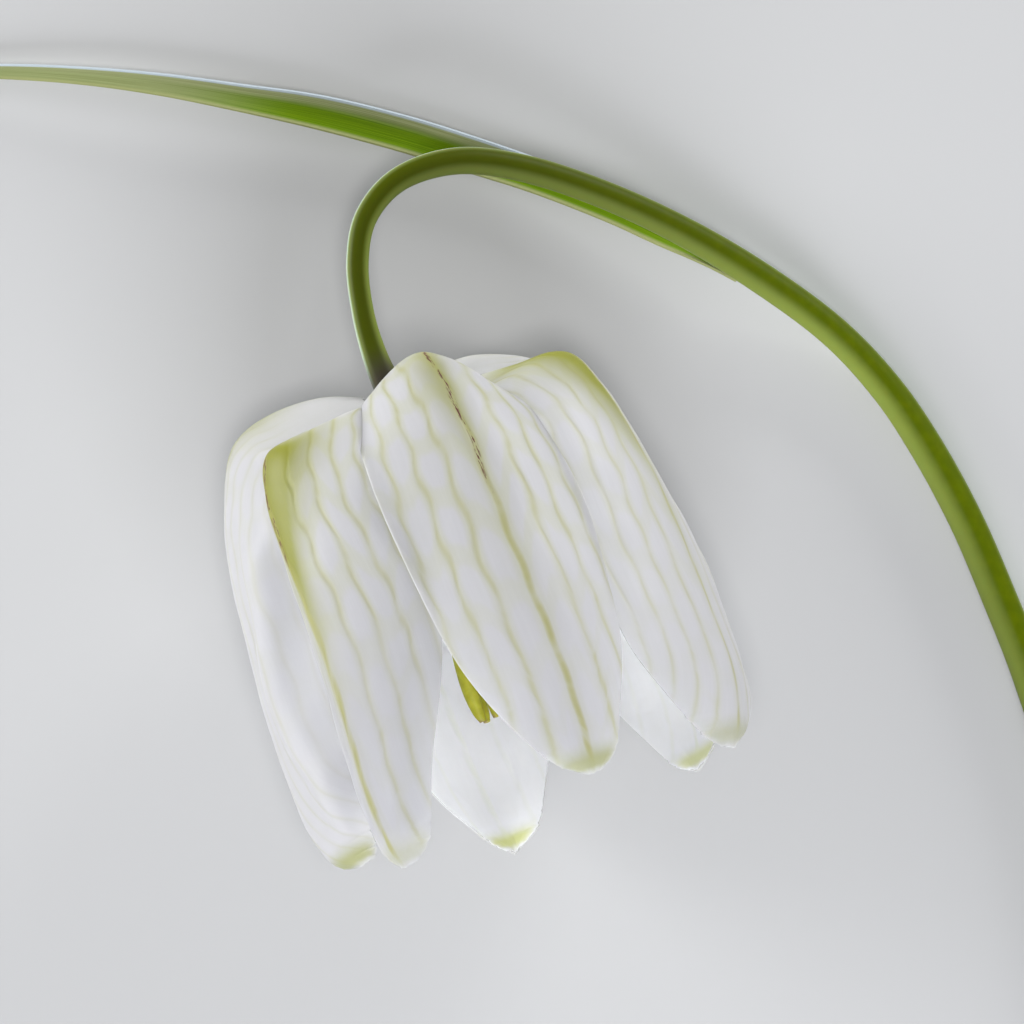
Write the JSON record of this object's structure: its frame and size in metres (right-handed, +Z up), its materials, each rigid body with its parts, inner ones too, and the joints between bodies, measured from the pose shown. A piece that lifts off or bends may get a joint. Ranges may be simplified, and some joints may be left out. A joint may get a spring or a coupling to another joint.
{
  "type": "checkered lily flower",
  "caption": "Cut white checkered lily: nodding bell of layered keeled tepals on an arched stem with a channelled leaf, lying on its side.",
  "frame": {"origin": "on the surface that the flower lies on, under the middle of the part's box", "axes": "+Z up from the surface; +X from the leaf's tip towards the cut end of the stem; +Y from the bell's mouth towards the arch of the stem"},
  "size_m": [0.1142, 0.0796, 0.0401],
  "materials": {
    "petal": "off-white petal with yellow-green veins and fine checkering, satin",
    "stem": "olive green plant stem with a waxy bloom, purple-brown under the flower",
    "leaf": "grey-green waxy leaf with a pale margin",
    "pistil": "yellow-green, slightly waxy",
    "stamen": "pale filament and yellow powdery anther"
  },
  "bodies": {
    "root": {"stem": "stem", "leaf": "leaf", "tepal_outer_1": "petal", "tepal_outer_2": "petal", "tepal_outer_3": "petal", "tepal_inner_1": "petal", "tepal_inner_2": "petal", "tepal_inner_3": "petal", "pistil": "pistil", "stamen_1": "stamen", "stamen_2": "stamen", "stamen_3": "stamen", "stamen_4": "stamen", "stamen_5": "stamen", "stamen_6": "stamen"}
  },
  "joints": []
}
